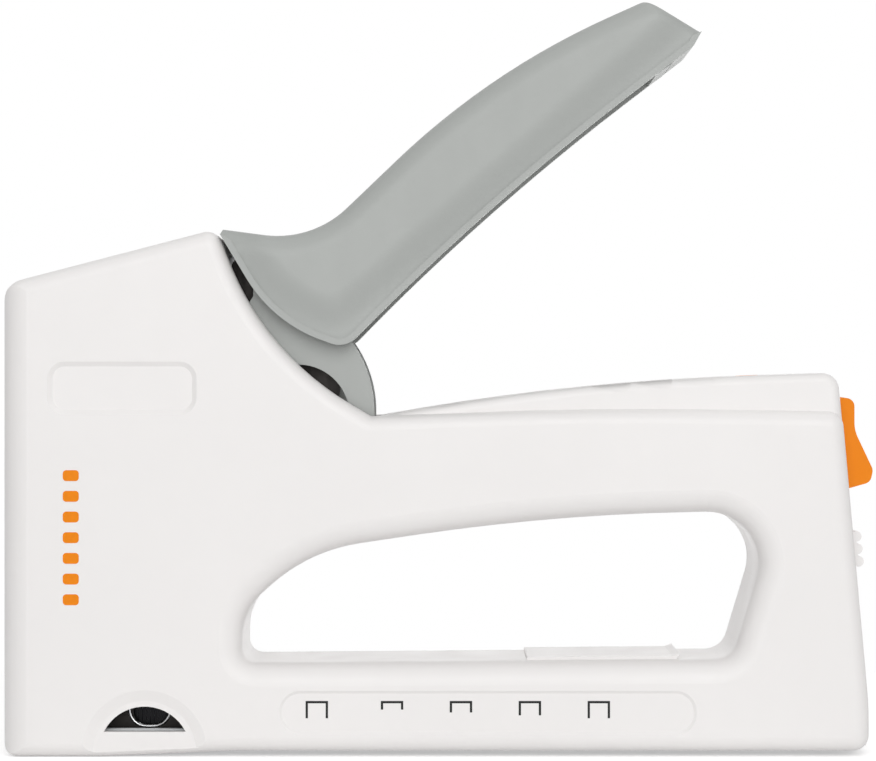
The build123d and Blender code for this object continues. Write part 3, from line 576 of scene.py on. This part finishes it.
class GUN_OT_mechanism(bpy.types.Operator):
    """Finishes the striker, its arm, the pusher, the pins and the bumper."""
    bl_idname = "gun.mechanism"
    bl_label = "Mechanism"

    def execute(self, context):
        oiled = sheet_steel("oiled_steel", colours().oiled, rough=0.36, along=LINES_UP)
        finish_nodes(oiled, "ram", "driver_blade", "pusher")
        # The arm is painted near-black, a painted shade for the dark inside of the lever's mouth
        black = sheet_steel("painted_shade_arm", shade(colours().black, ARM_SHADE_LIGHTER), rough=0.5, along=LINES_UP)
        finish_nodes(black, "lifter_arm")
        turned = sheet_steel("turned_pins", colours().zinc, rough=0.28, along=LINES_ACROSS)
        finish_nodes(turned, "lever_pivot_pin", "latch_pin", "lifter_pins", "ram_rivets")
        finish_nodes(rubber_finish("bumper_rubber", colours().rubber), "ram_bumper")
        return {"FINISHED"}


class GUN_OT_springs(bpy.types.Operator):
    """Finishes the three springs in drawn wire and puts copies of the two pressed ones in place of their
    CAD nodes.
    """
    bl_idname = "gun.springs"
    bl_label = "Springs"

    def execute(self, context):
        drawn = sheet_steel("spring_wire", colours().wire, rough=0.3, along=LINES_IN_COILS)
        finish_nodes(drawn, "main_spring", "pusher_spring", "lever_return_spring")
        self.shorten("main_spring", "main_coil", "housing", "striker_lift", Vector((0, 0, 1)))
        self.shorten("pusher_spring", "feed_coil", "magazine", "pusher_feed", Vector((1, 0, 0)))
        return {"FINISHED"}

    def shorten(self, node, name, body, joint, axis):
        """A copy of a spring that rides on the body in place of its CAD node; the joint and the axis are
        not used.
        """
        piece = riding_piece(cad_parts[node].data.copy(), name, body)
        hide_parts(node)
        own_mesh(piece)


class GUN_OT_screws(bpy.types.Operator):
    """Makes the housing screws, with thread and cross recess, in place of the plain ones."""
    bl_idname = "gun.screws"
    bl_label = "Housing screws"

    def execute(self, context):
        builder = bmesh.new()
        for low, high in self.plain_screws():
            self.add_screw(builder, low, high)
        steel = sheet_steel("screw_zinc", colours().zinc, rough=0.3, along=LINES_ACROSS)
        screws = piece_from(builder, "cross_head_screws", steel, "housing")
        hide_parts("housing_screws")
        return {"FINISHED"}

    def plain_screws(self):
        """Lowest and highest corners of each screw of the CAD node."""
        groups = []
        for point in node_points("housing_screws"):
            for group in groups:
                if abs(point.x - group[0].x) + abs(point.z - group[0].z) < SCREWS_APART:
                    group.append(point)
                    break
            else:
                groups.append([point])
        return [(Vector(map(min, zip(*g))), Vector(map(max, zip(*g)))) for g in groups]

    def add_screw(self, builder, low, high):
        """Pointed thread, pan head with eased rim, tapered cross recess."""
        centre = (low + high) / 2
        radius = (high.x - low.x) / 2
        seat = high.y - SCREW_HEAD_THICK
        rings = self.thread_rings(centre, low.y, seat)
        for rise, share in SCREW_HEAD_PROFILE:
            y = seat + rise * SCREW_HEAD_THICK
            rings.append(self.ring(centre, y, lambda angle: share * radius))
        loops = add_tube(builder, rings)
        builder.faces.new(loops[0])
        rim = loops[-1]
        mouth = self.cross(builder, centre, high.y, radius)
        floor = self.cross(builder, centre, high.y - CROSS_DEPTH, radius * CROSS_FLOOR)
        edges = [builder.edges.get((rim[i - 1], rim[i])) for i in range(len(rim))]
        edges += [builder.edges.new((mouth[i - 1], mouth[i])) for i in range(len(mouth))]
        bmesh.ops.triangle_fill(builder, use_beauty=True, edges=edges)
        for i in range(len(mouth)):
            builder.faces.new((mouth[i - 1], mouth[i], floor[i], floor[i - 1]))
        builder.faces.new(floor)

    def ring(self, centre, y, reach):
        """Points round the screw's axis; reach gives the radius at an angle."""
        angles = [2 * math.pi * i / SCREW_SIDES for i in range(SCREW_SIDES)]
        return [(centre.x + reach(a) * math.cos(a), y, centre.z + reach(a) * math.sin(a)) for a in angles]

    def thread_rings(self, centre, tip, seat):
        """Rings of a single-start thread that tapers to the tip."""
        pitch = sizes().thread_pitch
        steps = math.ceil((seat - tip) / pitch * RINGS_PER_TURN)
        rings = []
        for i in range(steps + 1):
            y = tip + (seat - tip) * i / steps
            taper = min(1, THREAD_TIP + (1 - THREAD_TIP) * (y - tip) / THREAD_TAPER)

            def reach(angle):
                phase = ((y - tip) / pitch + angle / (2 * math.pi)) % 1
                crest = max(0, 1 - abs(phase - 0.5) / THREAD_FLANK)
                return taper * (THREAD_CORE + THREAD_DEPTH * crest)

            rings.append(self.ring(centre, y, reach))
        return rings

    def cross(self, builder, centre, y, radius):
        """Corners of the cross recess at one depth, for a head of the given radius."""
        arm, half = CROSS_REACH * radius, CROSS_HALF * radius
        points = []
        for turn in range(4):
            for x, z in ((arm, -half), (arm, half), (half, half)):
                for quarter in range(turn):
                    x, z = -z, x
                points.append(builder.verts.new((centre.x + x, y, centre.z + z)))
        return points


class GUN_OT_magazine(bpy.types.Operator):
    """Finishes the magazine's sheet, rims its sight holes and lays the single staples of the stick."""
    bl_idname = "gun.magazine"
    bl_label = "Magazine"

    def execute(self, context):
        plated = sheet_steel("zinc_sheet", colours().zinc, rough=0.24, along=LINES_ALONG)
        finish_nodes(plated, "staple_rail", "nose_plate", "spring_seat", "pusher_rod")
        # The channel is painted near-black as painted shade inside the magazine
        black = sheet_steel("painted_shade_sheet", colours().black, rough=0.45, along=LINES_ALONG)
        finish_nodes(black, "magazine_channel")
        # The staples are painted near-black as painted shade in the sight holes
        wire = sheet_steel("staple_wire", colours().staples, rough=0.3, along=LINES_IN_LEGS)
        finish_nodes(wire, "staple_strip")
        self.lay_staples(wire)
        self.rim_sight_holes(black, plated)
        # Bright zinc edges beside the channel's painted black: a painted highlight
        highlight_zinc = sheet_steel("painted_highlight_edge", colours().zinc, rough=0.55, along=LINES_ALONG)
        self.turn_up_flanges(highlight_zinc)
        return {"FINISHED"}

    def lay_staples(self, wire):
        """The stick's staples, one behind the other, in place of its plain block."""
        low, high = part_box("staple_strip")
        count = sizes().staple_count
        pitch = (high.x - low.x) / count
        thick = pitch - sizes().staple_gap
        corners = self.staple_corners(high.y, low.z, high.z, thick)
        builder = bmesh.new()
        for i in range(count):
            front = low.x + i * pitch
            back = front + thick
            add_slab(builder, [(front, y, z) for y, z in corners], [(back, y, z) for y, z in corners])
        stick = piece_from(builder, "staple_stick", wire, "housing")
        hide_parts("staple_strip")

    def staple_corners(self, half, foot, top, wire):
        """Corners of one staple: a square-edged wire bent to an open frame, its outer corners eased."""
        ease = wire * STAPLE_EASE
        outer = [(-half, foot), (-half, top - ease), (-half + ease, top),
                 (half - ease, top), (half, top - ease), (half, foot)]
        inner = [(half - wire, foot), (half - wire, top - wire),
                 (-half + wire, top - wire), (-half + wire, foot)]
        return outer + inner

    def rim_sight_holes(self, black, plated):
        """Turned-in collar of the hole on each side of the channel, its wall painted black as shade and
        its two edges beads of bright zinc as painted highlight.
        """
        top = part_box("magazine_channel")[1].z
        half = max(p.y for p in node_points("magazine_channel") if p.z > top - MM)
        collars, beads = bmesh.new(), bmesh.new()
        for side in (-1, 1):
            rings = [self.sight_ring(d, side * (half - y * MM)) for d, y in COLLAR_SECTION]
            add_tube(collars, rings, closed=True)
            for depth in BEAD_DEPTHS:
                rings = [self.sight_ring(d, side * (half - (y + depth) * MM)) for d, y in BEAD_SECTION]
                add_tube(beads, rings, closed=True)
        piece_from(collars, "sight_hole_collars", black, "housing")
        piece_from(beads, "sight_hole_rims", plated, "housing")

    def sight_ring(self, grow, y):
        """Points round the sight hole, grown by a distance in millimetres."""
        reach = grow * MM
        low, high = SIGHT_SPAN[0] - reach, SIGHT_SPAN[1] + reach
        foot, top = SIGHT_RISE[0] - reach, SIGHT_RISE[1] + reach
        corners = rounded_bar(low, high, foot, top, SIGHT_ROUND + reach, SIGHT_STEPS)
        return [(x, y, z) for x, z in corners]

    def turn_up_flanges(self, highlight_zinc):
        """Bright zinc edge, a painted highlight beside the channel's painted black, that each flange of
        the channel turns up under the window.
        """
        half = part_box("magazine_channel")[1].y
        builder = bmesh.new()
        for side in (-1, 1):
            ends = []
            for x in LIP_SPAN:
                ends.append([(x, side * (half - y * MM), z * MM) for y, z in LIP_SECTION])
            for end in add_tube(builder, ends):
                builder.faces.new(end)
        piece_from(builder, "flange_edges", highlight_zinc, "housing")


class GUN_OT_marks(bpy.types.Operator):
    """Prints plain bars on the column and staple signs on the base's label pad."""
    bl_idname = "gun.marks"
    bl_label = "Marks"

    def execute(self, context):
        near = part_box("left_shell")[0].y
        self.print_bars(near)
        self.print_signs(near + sizes().pad_depth)
        return {"FINISHED"}

    def print_bars(self, face):
        """Row of bars up the column."""
        builder = bmesh.new()
        for i in range(BAR_COUNT):
            foot = BAR_FOOT + BAR_PITCH * i
            bar = rounded_bar(*BAR_SPAN, foot, foot + BAR_HEIGHT, BAR_ROUND)
            add_prism(builder, bar, face - sizes().print_depth, face)
        orange = printed_ink("print_orange", colours().bars)
        piece_from(builder, "column_bars", orange, "housing")

    def print_signs(self, face):
        """Row of staple outlines along the base."""
        builder = bmesh.new()
        for x, height in SIGNS:
            sign = staple_sign(x * MM, SIGN_TOP, SIGN_WIDTH, height * MM, sizes().sign_line)
            add_prism(builder, sign, face - sizes().print_depth, face)
        black = printed_ink("print_black", colours().ink)
        piece_from(builder, "staple_signs", black, "housing")


class GUN_OT_stage(bpy.types.Operator):
    """Sets the floor, the soft studio light and the camera at the photographed angle."""
    bl_idname = "gun.stage"
    bl_label = "Stage"

    def execute(self, context):
        self.lay_floor()
        self.light_world(context.scene)
        self.hang_lamps()
        self.place_camera(context.scene)
        context.scene.view_settings.view_transform = "Standard"
        return {"FINISHED"}

    def lay_floor(self):
        """Round sheet of paper under the tool and in front of it."""
        builder = bmesh.new()
        bmesh.ops.create_circle(builder, cap_ends=True, segments=FLOOR_SIDES, radius=FLOOR_RADIUS)
        bmesh.ops.translate(builder, verts=builder.verts, vec=FLOOR_CENTRE)
        paper = studio_paper("studio_paper", colours().floor)
        floor = link_object("studio_floor", built_mesh(builder, "studio_floor", paper))

    def light_world(self, scene):
        """Even white surround that the camera and the gloss see as paper white."""
        world = bpy.data.worlds.new("studio_surround")
        scene.world = world
        world.use_nodes = True
        tree = world.node_tree
        background = tree.nodes["Background"]
        background.inputs["Color"].default_value = (1, 1, 1, 1)
        level = seen_rays(tree, unseen=SURROUND_LIGHT, seen=1)
        tree.links.new(level, background.inputs["Strength"])

    def hang_lamps(self):
        """Square soft boxes that face the tool."""
        for name, (place, width, power) in LAMPS.items():
            light = bpy.data.lights.new(name, "AREA")
            light.size = width
            light.energy = power
            lamp = link_object(name, light)
            lamp.location = place
            lamp.rotation_euler = (LAMP_TARGET - Vector(place)).to_track_quat("-Z", "Y").to_euler()

    def place_camera(self, scene):
        """Level camera, square to the near side."""
        distance = sizes().camera_distance
        camera = bpy.data.cameras.new("photo_camera")
        camera.sensor_width = SENSOR_WIDTH
        camera.lens = SENSOR_WIDTH * distance / sizes().view_width
        eye = link_object("photo_camera", camera)
        eye.location = (CAMERA_X, CAD_BOX[0][1] - distance, CAMERA_Z)
        eye.rotation_euler = (math.radians(90), 0, 0)
        scene.camera = eye


class GUN_PT_panel(bpy.types.Panel):
    """Lists the steps, colours and sizes."""
    bl_idname = "GUN_PT_panel"
    bl_label = "Staple gun"
    bl_space_type = "VIEW_3D"
    bl_region_type = "UI"
    bl_category = "Staple gun"

    def draw(self, context):
        for step in STEPS:
            self.layout.operator(step.bl_idname)
        for group in (context.scene.gun_colours, context.scene.gun_sizes):
            for name in group.__annotations__:
                self.layout.prop(group, name)


STEPS = (GUN_OT_housing, GUN_OT_lever, GUN_OT_lock, GUN_OT_mechanism, GUN_OT_springs, GUN_OT_screws,
         GUN_OT_magazine, GUN_OT_marks, GUN_OT_stage)
CLASSES = (GunColours, GunSizes, *STEPS, GUN_PT_panel)


def register():
    for kind in CLASSES:
        bpy.utils.register_class(kind)
    bpy.types.Scene.gun_colours = PointerProperty(type=GunColours)
    bpy.types.Scene.gun_sizes = PointerProperty(type=GunSizes)


def unregister():
    del bpy.types.Scene.gun_sizes
    del bpy.types.Scene.gun_colours
    for kind in reversed(CLASSES):
        bpy.utils.unregister_class(kind)


def main():
    register()
    bpy.ops.gun.housing()
    bpy.ops.gun.lever()
    bpy.ops.gun.lock()
    bpy.ops.gun.mechanism()
    bpy.ops.gun.springs()
    bpy.ops.gun.screws()
    bpy.ops.gun.magazine()
    bpy.ops.gun.marks()
    bpy.ops.gun.stage()


if __name__ == "__main__":
    main()
